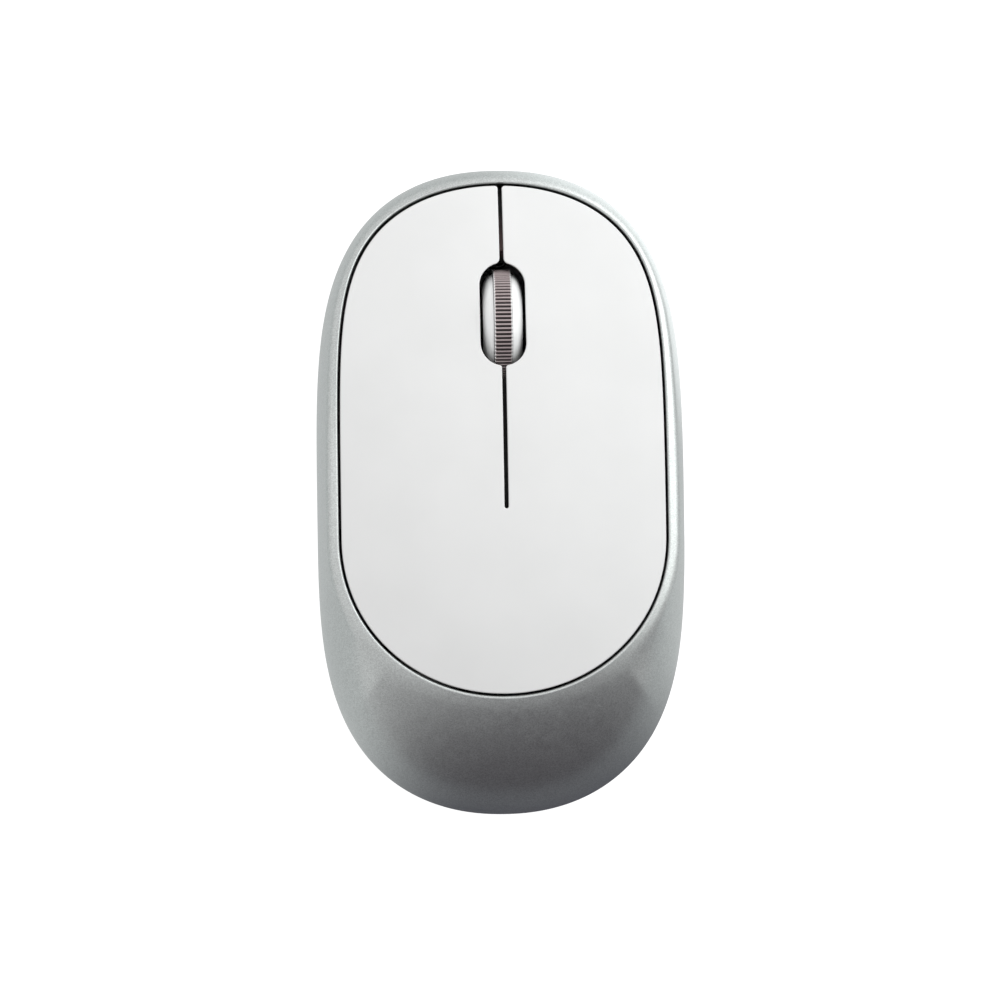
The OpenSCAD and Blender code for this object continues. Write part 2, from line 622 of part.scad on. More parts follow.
// Cradle that carries the wheel's axle and tips on its pins when the wheel is pressed
module wheel_carrier() color("black") difference() {
    union() {
        for (x = [-arm_x - arm_t, arm_x]) along_x(x, x + arm_t) {
            hull() {
                translate([pivot_y, pivot_z]) circle(1.7);
                translate([wheel_y, wheel_z]) circle(2.5);
            }
            hull() {
                translate([wheel_y, wheel_z]) circle(2.5);
                translate([front_bar_y, pivot_z]) circle(1.3);
            }
        }
        rod_x(-7.75, 7.75, pivot_y, pivot_z, pivot_r);
        block([-arm_x - 0.5, pivot_y - 0.9, pivot_z - 0.9], [arm_x + 0.5, pivot_y + 0.9, pivot_z + 0.9]);
        block([-arm_x - 0.5, front_bar_y - 1.2, pivot_z - 1], [arm_x + 0.5, front_bar_y + 1.2, pivot_z + 1]);
        translate([0, front_bar_y, pivot_z - 2]) cylinder(r = 1.15, h = 1.5);
        // finger that presses the middle switch
        block([arm_x + 0.5, tact_at.y - 1.5, pivot_z + 1.3],
            [tact_at.x + 1.6, tact_at.y + 1.5, pivot_z + 2.5]);
    }
    rod_x(-8, 8, wheel_y, wheel_z, bearing_r);
    for (s = [-1, 1]) rod_x(s*(arm_x + 0.6) - 2, s*(arm_x + 0.6) + 2, ir_at.x, ir_at.y, 1.1);
}

// Wire wound round Z from radius r0 at the bottom to r1 at height h
module coil(r0, r1, h, turns, wire_r) {
    n = 12*turns;
    swept([for (i = [0:n]) let (r = r0 + (r1 - r0)*i/n) [r*cos(30*i), r*sin(30*i), h*i/n]], wire_r);
}

module carrier_spring() color("silver") translate([0, front_bar_y, spring_z[0] + 0.25])
    coil(spring_r, spring_r, spring_z[1] - spring_z[0] - 0.5, 7, spring_wire);

// Small package with a lens that looks along the wheel's axle
module ir_part(side) {
    x = side*ir_x;
    y = ir_at.x;
    block([x - 0.8, y - 1.6, board_top + 3.6], [x + 0.8, y + 1.6, ir_at.y + 1.9]);
    rod_x(min(x, x - side*1.6), max(x, x - side*1.6), y, ir_at.y, 0.9);
    for (s = [-1, 1])
        block([x - 0.25, y + s*0.9 - 0.25, board_top + stand], [x + 0.25, y + s*0.9 + 0.25, board_top + 3.8]);
}

module ir_emitter() color("lightblue") ir_part(-1);

module ir_detector() color("black") ir_part(1);

module battery_cell() color("slategray") translate([cell_x, cell_rear, cell_z]) rotate([-90, 0, 0]) {
    cylinder(r = cell_r, h = cell_l);
    translate([0, 0, cell_l]) cylinder(r = 2.7, h = 1.25);
}

module positive_contact() color("silver") {
    y = cell_rear + cell_l + 1.3;
    x = cell_x + 3.6;
    back = bay_y[1] + 1.3;
    top = cell_z + 5.4;
    block([cell_x - 4, y, floor_z + 0.5], [x + 2, y + contact_t, top]);
    block([x, y, top - contact_t], [x + 2, back + contact_t, top]);
    block([x, back, board_top + stand], [x + 2, back + contact_t, top]);
    block([x, back, board_top + stand], [x + 2, back + 1.8, board_top + contact_t]);
}

module negative_contact() color("silver") {
    block([cell_x - 5.4, bay_y[0] + stand, floor_z + 0.5],
        [cell_x + 5.4, bay_y[0] + stand + contact_t, cell_z + 5.6]);
    translate([cell_x, bay_y[0] + 0.6, cell_z]) rotate([-90, 0, 0]) coil(5, 3.4, 1.9, 2.5, 0.24);
}

// Insulated lead from the negative contact, along the bay's left wall, to the board
module battery_wire() color("black") swept(smooth(wire_route, 5), wire_r, 8);

// Curve through every point of a route, with n steps between neighbours
function smooth(route, n) =
    let (last = len(route) - 1)
    concat([for (i = [0:last - 1]) let (a = route[max(i - 1, 0)], b = route[i], c = route[i + 1],
            d = route[min(i + 2, last)])
        each [for (k = [0:n - 1]) let (t = k/n)
            b + (c - a)*t/2 + (2*a - 5*b + 4*c - d)*t*t/2 + (3*b - a - 3*c + d)*t*t*t/2]],
        [route[last]]);

module receiver_head() color("black") translate([receiver_at.x, receiver_at.y, base_z + 0.1])
    linear_extrude(receiver_size.z) rounded([receiver_size.x, receiver_size.y], 0.8);

module receiver_plug() color("silver")
    translate([receiver_at.x, receiver_at.y, base_z + 0.1 + receiver_size.z])
        linear_extrude(plug_size.z) difference() {
            square([plug_size.x, plug_size.y], center = true);
            square([plug_size.x - 2*plug_t, plug_size.y - 2*plug_t], center = true);
        }

module receiver_tongue() color("white")
    translate([receiver_at.x - 0.9, receiver_at.y, base_z + 0.1 + receiver_size.z])
        linear_extrude(plug_size.z - 0.6) square([2, plug_size.y - 2*plug_t - 0.1], center = true);

shell();
inner_deck();
palm_cover();
left_key();
right_key();
base_tray();
battery_door();
glide_feet();
case_screws();
sensor_lens();
power_slider();
power_switch();
circuit_board();
sensor_chip();
sensor_led();
radio_chip();
crystal();
capacitors();
board_screws();
left_switch();
right_switch();
middle_switch();
left_plunger();
right_plunger();
middle_plunger();
wheel_barrel();
wheel_band();
wheel_hub();
wheel_axle();
wheel_carrier();
carrier_spring();
ir_emitter();
ir_detector();
battery_cell();
positive_contact();
negative_contact();
battery_wire();
receiver_head();
receiver_plug();
receiver_tongue();
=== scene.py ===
"""Slim wireless mouse: its visible pieces, materials, lights and camera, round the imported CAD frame.

Shapes are worked out in millimetres, in the frame of the part, and become metres when a mesh is made.
"""
import json
import math

import bmesh
import bpy
import numpy as np
from mathutils import Matrix, Vector, geometry


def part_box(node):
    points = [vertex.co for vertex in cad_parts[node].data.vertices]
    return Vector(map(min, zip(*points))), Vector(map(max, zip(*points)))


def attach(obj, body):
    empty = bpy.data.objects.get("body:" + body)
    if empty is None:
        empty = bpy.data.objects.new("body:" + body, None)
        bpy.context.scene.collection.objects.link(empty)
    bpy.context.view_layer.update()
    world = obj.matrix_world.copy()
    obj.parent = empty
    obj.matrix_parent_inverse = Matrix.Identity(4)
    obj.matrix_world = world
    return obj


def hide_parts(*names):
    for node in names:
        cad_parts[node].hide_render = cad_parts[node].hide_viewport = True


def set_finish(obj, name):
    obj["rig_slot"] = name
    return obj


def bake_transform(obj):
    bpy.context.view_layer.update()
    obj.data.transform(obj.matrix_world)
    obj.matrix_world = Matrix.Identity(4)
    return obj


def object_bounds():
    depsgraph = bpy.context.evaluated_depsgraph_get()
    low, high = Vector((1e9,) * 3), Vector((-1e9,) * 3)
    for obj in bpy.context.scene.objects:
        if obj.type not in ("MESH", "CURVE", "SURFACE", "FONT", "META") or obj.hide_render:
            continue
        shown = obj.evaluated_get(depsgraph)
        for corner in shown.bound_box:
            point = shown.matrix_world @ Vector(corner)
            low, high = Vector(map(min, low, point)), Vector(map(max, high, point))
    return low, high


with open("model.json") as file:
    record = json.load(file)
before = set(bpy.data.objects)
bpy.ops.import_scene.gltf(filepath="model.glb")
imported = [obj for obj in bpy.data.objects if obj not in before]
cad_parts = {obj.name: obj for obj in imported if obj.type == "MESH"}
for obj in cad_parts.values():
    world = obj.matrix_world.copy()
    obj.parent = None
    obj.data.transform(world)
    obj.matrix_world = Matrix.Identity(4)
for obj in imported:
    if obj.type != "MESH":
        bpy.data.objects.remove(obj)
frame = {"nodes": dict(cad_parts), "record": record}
cad_low, cad_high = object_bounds()

MM = 0.001


def box_mm(node):
    """Lowest and highest corner of a CAD node, in millimetres."""
    low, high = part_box(node)
    return np.array(low) / MM, np.array(high) / MM


# ---------------------------------------------------------------------------------------------- camera

VIEW_DISTANCE = 600.0   # camera to the mouse's widest level
VIEW_WIDTH = 168.0      # what the picture spans at that level
VIEW_LEAN = 1.86        # degrees that the camera leans to the mouse's left
VIEW_PITCH = 0.6        # and to its front
VIEW_ROLL = 0.79        # degrees that the mouse is turned in the picture
VIEW_AIM = (-0.02, -1.23, 9.5)      # the point at the middle of the picture


def make_camera():
    """The camera of the main view, nearly straight above the mouse."""
    lean, pitch, roll = math.radians(VIEW_LEAN), math.radians(VIEW_PITCH), math.radians(VIEW_ROLL)
    back = Vector((-math.tan(lean), math.tan(pitch), 1)).normalized()
    up = Vector((math.sin(roll), math.cos(roll), 0))
    right = up.cross(back).normalized()
    up = back.cross(right)
    data = bpy.data.cameras.new("camera")
    data.sensor_width = 36
    data.lens = data.sensor_width * VIEW_DISTANCE / VIEW_WIDTH
    camera = bpy.data.objects.new("camera", data)
    turn = Matrix((right, up, back)).transposed().to_4x4()
    camera.matrix_world = Matrix.Translation((Vector(VIEW_AIM) + VIEW_DISTANCE * back) * MM) @ turn
    bpy.context.scene.collection.objects.link(camera)
    bpy.context.scene.camera = camera


make_camera()

# --------------------------------------------------------------------------------------- driving sizes

shell_low, shell_high = box_mm("shell")
key_low, key_high = box_mm("left_key")
palm_low = box_mm("palm_cover")[0]
band_low, band_high = box_mm("wheel_band")
barrel_low, barrel_high = box_mm("wheel_barrel")

PLATE_GAP = 0.4         # between the plate and the shell
PLATE_THICK = 1.5
PLATE_EDGE = 0.22       # radius of the plate's top edge
LOWER_EDGE = 0.15       # chamfer of its lower one
CREST_Y = -10.0         # where the plate is highest
CREST_Z = 30.0
FALL_Y = 0.00368        # how fast the plate falls away along its length, 1/mm
FALL_X = 0.004          # and across its width
SHOULDER = 1.9          # width of the shell's shoulder round the plate
SHOULDER_TILT = 6.0     # its slope beyond the plate's own, in degrees
KNEE = 0.9              # length of the rounding between shoulder and side wall
BULGE_Z = 9.5           # widest level of the side wall
LEAN_DEPTH = 4.6        # how far the wall leans in under the bulge
LEAN_HEIGHT = 9.2
SHELL_WALL = 1.6
LIP = 1.9               # depth of the shell's lip inside the gap
LIP_EDGE = 0.32         # radius of that lip's edge
SEAM_Z = shell_low[2]

KEY_ROOT = key_low[1]   # rear end of the slit, where the keys bend
SLIT = 0.34             # half of the slit's width
SLOT_R = 3.75           # half of the wheel opening's width
SLOT_FRONT = 37.9
SLOT_REAR = 20.9
FUNNEL = 1.0            # rounding where the slit meets the opening in front of the wheel
FUNNEL_REAR = 0.4       # and behind it
RIB_HALF = 1.6          # half of the width of the deck's rib under the front slit

WHEEL_Y, WHEEL_Z = (band_low[1:] + band_high[1:]) / 2
WHEEL_R = (band_high[2] - band_low[2]) / 2
WHEEL_HALF = (barrel_high[0] - barrel_low[0]) / 2
BAND_HALF = (band_high[0] - band_low[0]) / 2
SLIT_X = (band_high[0] + band_low[0]) / 2   # the slit and the wheel are a little right of the middle
RIDGES = 90
RIDGE_PHASE = 0.33      # share of a ridge's pitch that the wheel is turned by
GROOVE = 0.15           # half of the width of the groove between two ridges
GROOVE_END = 0.32       # from a groove's end to the band's side
GROOVE_DEPTH = 0.3
BAND_THICK = 1.18
BARREL_DROP = 0.6       # how far the barrel's crown is below the band
BARREL_CROWN = 3.6      # exponent of the barrel's profile
BARREL_FALL = 0.35      # where that profile would end, beyond the barrel's side
SIDE_BORE = 5.0         # radius of the hole in each of the barrel's sides
CAVITY_R = 6.9          # and of the hollow between them
CAVITY_HALF = 2.2       # half of that hollow's width

# An outline is [half width, front end, rear end, y of the widest point, and the exponents of its front
# and rear quarters across and along].
BODY_LINE = [shell_high[0], shell_high[1], shell_low[1], -5.0, 2.25, 4.05, 2.15, 3.35]
PLATE_LINE = [-key_low[0], key_high[1], palm_low[1], -7.0, 2.02, 5.8, 2.03, 2.08]


def inset(line, by):
    """An outline that lies inside another by a distance."""
    return [line[0] - by, line[1] - by, line[2] + by] + line[3:]


def reach(line, directions):
    """Distance from the origin to an outline along each direction, by halving."""
    half, front, rear, mid = line[:4]
    low, high = np.zeros(len(directions)), np.full(len(directions), 90.0)
    for _ in range(40):
        r = (low + high) / 2
        x, y = directions[:, 0] * r, directions[:, 1] * r
        ahead = y > mid
        depth = np.where(ahead, front - mid, mid - rear)
        across = np.where(ahead, line[4], line[6])
        along = np.where(ahead, line[5], line[7])
        inside = (np.abs(x) / half) ** across + (np.abs(y - mid) / depth) ** along <= 1
        low, high = np.where(inside, r, low), np.where(inside, high, r)
    return (low + high) / 2


def plate_z(x, y):
    """Height of the plate's top."""
    return CREST_Z - FALL_Y * (y - CREST_Y) ** 2 - FALL_X * x**2


def plate_normal(x, y):
    n = np.stack([2 * FALL_X * x, 2 * FALL_Y * (y - CREST_Y), np.ones_like(x)], -1)
    return n / np.linalg.norm(n, axis=-1, keepdims=True)


def lean(z):
    """How far the side wall is inside its widest level at a height under it."""
    return LEAN_DEPTH * (1 - np.sqrt(1 - ((BULGE_Z - z) / LEAN_HEIGHT) ** 2))


# ------------------------------------------------------------------------------------------ mesh tools


def piece(name, points, faces, sharp=40.0, normals=None):
    """A mesh object from points in millimetres, with its faces turned outwards and smoothed."""
    mesh = bpy.data.meshes.new(name)
    mesh.from_pydata((np.asarray(points) * MM).tolist(), [], [tuple(f) for f in faces])
    work = bmesh.new()
    work.from_mesh(mesh)
    bmesh.ops.recalc_face_normals(work, faces=work.faces)
    work.to_mesh(mesh)
    work.free()
    mesh.polygons.foreach_set("use_smooth", np.ones(len(mesh.polygons), bool))
    mesh.set_sharp_from_angle(angle=math.radians(sharp))
    if normals is not None:
        mesh.normals_split_custom_set_from_vertices(normals)
    made = bpy.data.objects.new(name, mesh)
    bpy.context.scene.collection.objects.link(made)
    return made


def mark(obj, name, values):
    """Gives each point of a mesh a value that its material reads."""
    obj.data.attributes.new(name, "FLOAT", "POINT").data.foreach_set("value", values.astype(np.float32))


def ring_quads(a, b, count):
    """Quads between two closed rings of vertices that start at a and b."""
    return [(a + i, b + i, b + (i + 1) % count, a + (i + 1) % count) for i in range(count)]


def closed_rings(rings):
    """Points and faces of a tube whose last ring joins its first."""
    count, size = len(rings), len(rings[0])
    faces = [q for k in range(count) for q in ring_quads(k * size, (k + 1) % count * size, size)]
    return np.concatenate(rings), faces


def arc(centre, radius, start, end, steps):
    """Points of an arc, with its angles in degrees."""
    a = np.radians(np.linspace(start, end, steps))
    return np.stack([centre[0] + radius * np.cos(a), centre[1] + radius * np.sin(a)], -1)


def line_points(start, end, step):
    """Points of a straight line, about a step apart."""
    start, end = np.asarray(start, float), np.asarray(end, float)
    count = max(2, int(np.linalg.norm(end - start) / step) + 1)
    return np.linspace(start, end, count)


# --------------------------------------------------------------------------------------------- shell

RAYS = 384


def wall_tilt(a, b, least):
    """Downward tilt at which an arc leaves a so as to reach b upright; it is never under the least."""
    return np.maximum(least, 2 * np.arctan2(a[1] - b[1], b[0] - a[0]) - math.pi / 2)


def wall_curve(a, b, tilt, shares):
    """Curve from a, leaving at a downward tilt, to b, where it is vertical: [radius, height] rings."""
    turn = math.pi / 2 - tilt
    handle = np.hypot(b[0] - a[0], b[1] - a[1]) * 2 / 3 * np.tan(turn / 4) / np.sin(turn / 2)
    c = a + handle * np.array([np.cos(tilt), -np.sin(tilt)])
    d = b + np.array([np.zeros_like(handle), handle])
    return [(1 - t) ** 3 * a + 3 * (1 - t) ** 2 * t * c + 3 * (1 - t) * t * t * d + t**3 * b
            for t in shares]


def shell_rings():
    """Rings of the shell's closed section: from its lip in the gap, over the wall to the seam, and back
    up inside."""
    angles = np.arange(RAYS) * 2 * math.pi / RAYS
    directions = np.stack([shell_high[0] * np.cos(angles), shell_high[1] * np.sin(angles)], -1)
    directions /= np.linalg.norm(directions, axis=1, keepdims=True)
    r0 = reach(inset(PLATE_LINE, -PLATE_GAP), directions)
    r1 = reach(BODY_LINE, directions)
    z0 = plate_z(*(directions.T * r0))
    plate_slope = np.arctan(z0 - plate_z(*(directions.T * (r0 + 1))))
    slope = plate_slope + math.radians(SHOULDER_TILT)
    width = np.minimum(SHOULDER, (r1 - r0) / 2)
    edge = np.array([r0, z0])
    along = np.array([np.cos(slope), -np.sin(slope)])
    knee = edge + width / np.cos(slope) * along
    foot = np.array([r1, np.full_like(r1, BULGE_Z)])
    tilt = wall_tilt(knee, foot, slope + math.radians(3))
    turn = math.pi / 2 - tilt
    handle = np.hypot(*(foot - knee)) * 2 / 3 * np.tan(turn / 4) / np.sin(turn / 2)
    before = knee - np.minimum(KNEE, 0.6 * width) * along
    share = np.minimum(0.3, KNEE / (3 * handle))
    after = wall_curve(knee, foot, tilt, [share])[0]

    # the lip's rounded edge touches the gap's wall and the shoulder
    centre = np.array([r0 + LIP_EDGE, z0 - LIP_EDGE * (1 + np.sin(slope)) / np.cos(slope)])
    last = math.pi / 2 - slope
    rounded = [centre + LIP_EDGE * np.array([np.cos(a), np.sin(a)])
               for a in (math.pi + (last - math.pi) * t for t in np.linspace(0, 1, 6))]
    shoulder = [rounded[-1] + (before - rounded[-1]) * t for t in np.linspace(0, 1, 6)[1:]]
    corner = [(1 - t) ** 2 * before + 2 * (1 - t) * t * knee + t * t * after
              for t in np.linspace(0, 1, 11)[1:]]
    wall = wall_curve(knee, foot, tilt, [share + (1 - share) * t for t in np.linspace(0, 1, 25)[1:]])
    low = [np.array([r1 - lean(z), np.full_like(r1, z)])
           for z in np.linspace(BULGE_Z, SEAM_Z + 0.15, 14)[1:]]
    seam = np.array([r1 - lean(SEAM_Z) - 0.1, np.full_like(r1, SEAM_Z)])
    inner_foot = foot - np.array([[SHELL_WALL], [0]])
    inner = [np.array([r1 - SHELL_WALL - lean(z), np.full_like(r1, z)]) for z in (SEAM_Z, 5, 7)]
    lip_foot = np.array([r0, z0 - LIP])
    back_tilt = wall_tilt(lip_foot, inner_foot, plate_slope)
    back = wall_curve(lip_foot, inner_foot, back_tilt, np.linspace(1, 0, 9))
    lip = [np.array([r0, z0 - LIP + (LIP - 0.6) * t]) for t in (0.5, 1)]
    section = rounded + shoulder + corner + wall + low + [seam] + inner + back + lip
    return [np.column_stack([directions * s[0][:, None], s[1]]) for s in section]


def make_shell():
    """The silver shell."""
    points, faces = closed_rings(shell_rings())
    made = piece("silver_shell", points, faces, sharp=50)
    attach(made, "housing")
    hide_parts("shell")
    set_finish(made, "silver_paint")
    return made


# ------------------------------------------------------------------------------------------ top plate


def half_outline(slit_x):
    """The right half of the plate, from the middle of its rear edge round the side and the front, and
    down the slit and round the wheel opening to the slit's end. The slit is at slit_x, and the chain's
    x starts there."""
    angles = np.radians(np.linspace(-90, 90, 241))
    directions = np.stack([-key_low[0] * np.cos(angles), 50 * np.sin(angles)], -1)
    directions /= np.linalg.norm(directions, axis=1, keepdims=True)
    outer = directions * reach(PLATE_LINE, directions)[:, None] - (slit_x, 0)
    corner = 0.5
    # points that would crowd the corner at the slit or the middle of the rear edge are left out
    outer = outer[(outer[:, 0] > SLIT + corner + 0.1) | (outer[:, 1] < 0) & (outer[:, 0] > 0.3)]
    front = outer[-1, 1]
    chain = [[(0, PLATE_LINE[2])], outer, arc((SLIT + corner, front - corner), corner, 90, 180, 7)]

    front_y = SLOT_FRONT - SLOT_R
    rear_y = SLOT_REAR + SLOT_R
    top = np.array([SLIT + FUNNEL, front_y + math.sqrt((SLOT_R + FUNNEL) ** 2 - (SLIT + FUNNEL) ** 2)])
    low_y = rear_y - math.sqrt((SLOT_R + FUNNEL_REAR) ** 2 - (SLIT + FUNNEL_REAR) ** 2)
    low = np.array([SLIT + FUNNEL_REAR, low_y])
    bend = math.degrees(math.atan2(top[1] - front_y, top[0]))
    bend_rear = math.degrees(math.atan2(rear_y - low[1], low[0]))
    chain += [
        line_points((SLIT, front - corner), (SLIT, top[1]), 0.8)[1:-1],
        arc(top, FUNNEL, 180, 180 + bend, 9),
        arc((0, front_y), SLOT_R, bend, 0, 18)[1:],
        line_points((SLOT_R, front_y), (SLOT_R, rear_y), 0.8)[1:-1],
        arc((0, rear_y), SLOT_R, 0, -bend_rear, 18),
        arc(low, FUNNEL_REAR, 180 - bend_rear, 180, 6)[1:],
        line_points((SLIT, low[1]), (SLIT, KEY_ROOT + SLIT), 0.8)[1:-1],
        arc((0, KEY_ROOT + SLIT), SLIT, 0, -90, 8),
    ]
    return np.concatenate(chain)


def inward(chain):
    """Unit normals of an open chain, pointing into the plate."""
    ahead = np.diff(chain, axis=0)
    ahead /= np.linalg.norm(ahead, axis=1, keepdims=True)
    tangent = np.vstack([ahead[:1], ahead[1:] + ahead[:-1], ahead[-1:]])
    normal = np.stack([-tangent[:, 1], tangent[:, 0]], -1)
    normal /= np.linalg.norm(normal, axis=1, keepdims=True)
    normal[0], normal[-1] = (0, 1), (0, -1)
    return normal


def filled(boundary, spacing):
    """Inner points and triangles that fill a closed outline, whose own points come first."""
    low, high = boundary.min(0), boundary.max(0)
    rows = np.arange(low[1], high[1], spacing * 0.866)
    grid = [(x, y) for k, y in enumerate(rows)
            for x in np.arange(low[0] + k % 2 * spacing / 2, high[0], spacing)]
    grid = np.array(grid)
    away = np.min(np.linalg.norm(grid[:, None] - boundary[None], axis=2), axis=1) > spacing * 0.6
    ends = np.roll(boundary, -1, axis=0)
    crosses = (boundary[None, :, 1] > grid[:, None, 1]) != (ends[None, :, 1] > grid[:, None, 1])
    rise = np.where(ends[:, 1] == boundary[:, 1], 1, ends[:, 1] - boundary[:, 1])
    at = (boundary[None, :, 0]
          + (grid[:, None, 1] - boundary[None, :, 1]) * (ends - boundary)[None, :, 0] / rise)
    inside = (crosses & (grid[:, None, 0] < at)).sum(1) % 2 == 1
    grid = grid[away & inside]
    count = len(boundary)
    points = [Vector(p) for p in np.vstack([boundary, grid])]
    edges = [(i, (i + 1) % count) for i in range(count)]
    result = geometry.delaunay_2d_cdt(points, edges, [], 1, 1e-6)
    assert len(result[0]) == len(points)
    return grid, [tuple(f) for f in result[2]]


def make_plate_half(side, name, replaced):
    """Half of the white plate in one piece: the palm behind the slit's end and its key ahead of it."""
    chain = half_outline(side * SLIT_X)
    normal = inward(chain)
    chain = chain + (side * SLIT_X, 0)
    size = len(chain)
    rings, shading = [], []

    def ring(by, drop, up):
        """Adds a ring, inset and lowered by these distances. Its shading points up radians above
        level, or is worked out from the faces where up is negative."""
        flat = chain + normal * by
        z = plate_z(*flat.T) - drop
        rings.append(np.column_stack([flat, z]))
        outward = np.column_stack([-normal, np.zeros(size)])
        if up < 0:
            shading.append(0 * outward)
        else:
            shading.append(math.cos(up) * outward + math.sin(up) * plate_normal(*flat.T))

    ring(LOWER_EDGE, PLATE_THICK, -1)
    ring(0, PLATE_THICK - LOWER_EDGE, -1)
    for up in np.linspace(0, math.pi / 2, 7):
        ring(PLATE_EDGE * (1 - math.cos(up)), PLATE_EDGE * (1 - math.sin(up)), up)
    top = rings[-1][:, :2]
    seam_y = np.arange(top[-1, 1] - 1.1, top[0, 1] + 0.8, -1.2)
    seam = np.column_stack([np.full(len(seam_y), side * SLIT_X), seam_y])
    grid, triangles = filled(np.vstack([top, seam]), 1.3)
    loose = np.vstack([seam, grid])
    loose_z = plate_z(*loose.T)
    points = np.vstack(rings + [np.column_stack([loose, loose_z]),
                                np.column_stack([loose, loose_z - PLATE_THICK])])
    normals = np.vstack(shading + [plate_normal(*loose.T), np.zeros((len(loose), 3))])

    above = (len(rings) - 1) * size
    faces = [(k * size + i, k * size + i + 1, (k + 1) * size + i + 1, (k + 1) * size + i)
             for k in range(len(rings) - 1) for i in range(size - 1)]
    faces += [tuple(above + i for i in t) for t in triangles]
    below = len(rings) * size + len(loose) - size
    faces += [tuple(i if i < size else below + i for i in reversed(t)) for t in triangles]
    seam_top = [len(rings) * size + i for i in range(len(seam))]
    seam_low = [i + len(loose) for i in seam_top]
    front_edge = [k * size + size - 1 for k in range(len(rings))]
    rear_edge = [k * size for k in range(len(rings))]
    faces.append(tuple(front_edge + seam_top + rear_edge[::-1] + seam_low[::-1]))
    points[:, 0] *= side
    normals[:, 0] *= side
    made = piece(name, points, faces, sharp=50, normals=normals)
    # Painted shade: the plate's two lowest rings and its underside are marked so that its material
    # paints them near-black, for the dark lines of the gap and the wheel opening.
    wall = np.zeros(len(points))
    wall[:2 * size] = 1
    wall[-len(loose):] = 1
    mark(made, "wall", wall)
    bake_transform(made)
    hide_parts(*replaced)
    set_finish(made, "white_plate")
    return made


# --------------------------------------------------------------------------------------------- wheel


def revolve(name, section, segments, sharp=40.0):
    """A solid of revolution about the wheel's axle, from a closed section of [x, radius] points."""
    angles = np.arange(segments) * 2 * math.pi / segments
    rings = [np.column_stack([np.full(segments, SLIT_X + x), WHEEL_Y + r * np.cos(angles),
                              WHEEL_Z + r * np.sin(angles)]) for x, r in section]
    points, faces = closed_rings(rings)
    return piece(name, points, faces, sharp)


def barrel_r(x):
    """Radius of the barrel at x from its middle."""
    out = np.abs(x) / (WHEEL_HALF + BARREL_FALL)
    return (WHEEL_R - BARREL_DROP) * (1 - out**BARREL_CROWN) ** (1 / BARREL_CROWN)


def make_barrel():
    """The silver barrel: two crowned flanks with a channel for the band between them."""
    channel = BAND_HALF + 0.03
    edge, rim = 0.12, 0.1       # roundings beside the channel and at the barrel's sides
    x = np.linspace(channel + edge, WHEEL_HALF - rim, 16)
    flank = np.column_stack([x, barrel_r(x)])
    inner = barrel_r(channel + edge)
    side = barrel_r(WHEEL_HALF - rim)
    half = np.vstack([
        [(channel, WHEEL_R - 1.2), (channel, inner - edge), (channel + 0.035, inner - 0.04)],
        flank,
        [(WHEEL_HALF - 0.03, side - edge), (WHEEL_HALF, side - 0.3), (WHEEL_HALF, SIDE_BORE),
         (CAVITY_HALF, SIDE_BORE), (CAVITY_HALF, CAVITY_R)],
    ])
    section = np.vstack([half, half[::-1] * (-1, 1)])
    made = revolve("wheel_barrel_silver", section, 256)
    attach(made, "wheel")
    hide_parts("wheel_barrel")
    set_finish(made, "wheel_silver")
    return made


def make_band():
    """The knurled band: a ring whose face has a row of round-ended grooves across it."""
    groove_reach = BAND_HALF - GROOVE_END
    pitch = 2 * math.pi * WHEEL_R / RIDGES
    steps = 12
    arc_at = (np.arange(steps) / steps - 0.5) * pitch
    flat = BAND_HALF - 0.05     # the face's half width, without its rounded edges
    x = np.concatenate([[-BAND_HALF], np.linspace(-flat, flat, 31), [BAND_HALF]])
    past = np.maximum(np.abs(x)[:, None] - groove_reach, 0)
    away = np.hypot(past, arc_at[None])
    soft = 0.06     # half of the width over which a groove's wall rises, and a ridge's rounding
    t = np.clip((away - GROOVE + soft) / (2 * soft), 0, 1)
    t = t * t * (3 - 2 * t)
    crown = soft * (np.abs(arc_at) / (pitch / 2) - 1) ** 2
    height = WHEEL_R - GROOVE_DEPTH * (1 - t) - crown[None] * t
    height[[0, -1]] -= 0.05
    full, open_face = np.tile(height, RIDGES), np.tile(t, RIDGES)
    angles = (np.arange(RIDGES * steps) / steps + RIDGE_PHASE) * 2 * math.pi / RIDGES
    across, up = np.cos(angles), np.sin(angles)
    rings = [np.column_stack([np.full(len(angles), SLIT_X + x[k]), WHEEL_Y + full[k] * across,
                              WHEEL_Z + full[k] * up]) for k in range(len(x))]
    bore = WHEEL_R - BAND_THICK
    for side in (BAND_HALF, -BAND_HALF):
        rings.append(np.column_stack([np.full(len(angles), SLIT_X + side), WHEEL_Y + bore * across,
                                      WHEEL_Z + bore * up]))
    points, faces = closed_rings(rings)
    made = piece("wheel_band_knurled", points, faces, sharp=60)
    # Marks for the band's material: 'land' is 0 in the grooves, which it paints near-black as painted
    # shade; 'rim' is 1 on the side strips, which it paints light grey as a painted highlight.
    rim = np.clip((np.abs(x) - groove_reach - GROOVE) / soft, 0, 1)[:, None] * np.ones(len(angles))
    for name, share in (("land", open_face), ("rim", rim)):
        mark(made, name, np.concatenate([share.ravel(), np.zeros(2 * len(angles))]))
    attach(made, "wheel")
    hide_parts("wheel_band")
    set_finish(made, "band_grey")
    return made


def make_spring():
    """The coil under the carrier's front bar, a smooth-shaded copy of its CAD node."""
    cad = frame["nodes"]["carrier_spring"]
    made = bpy.data.objects.new("return_spring", cad.data.copy())
    made.matrix_world = cad.matrix_world
    bpy.context.scene.collection.objects.link(made)
    smooth_cad_node(made)
    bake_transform(made)
    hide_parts("carrier_spring")
    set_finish(made, "black_steel")
    return made


# ----------------------------------------------------------------------------------------- materials


def vector_math(tree, operation, *values):
    """A node that works on vectors, which are sockets or constants."""
    node = tree.nodes.new("ShaderNodeVectorMath")
    node.operation = operation
    for socket, value in zip(node.inputs, values):
        if isinstance(value, bpy.types.NodeSocket):
            tree.links.new(value, socket)
        else:
            socket.default_value = value
    return node


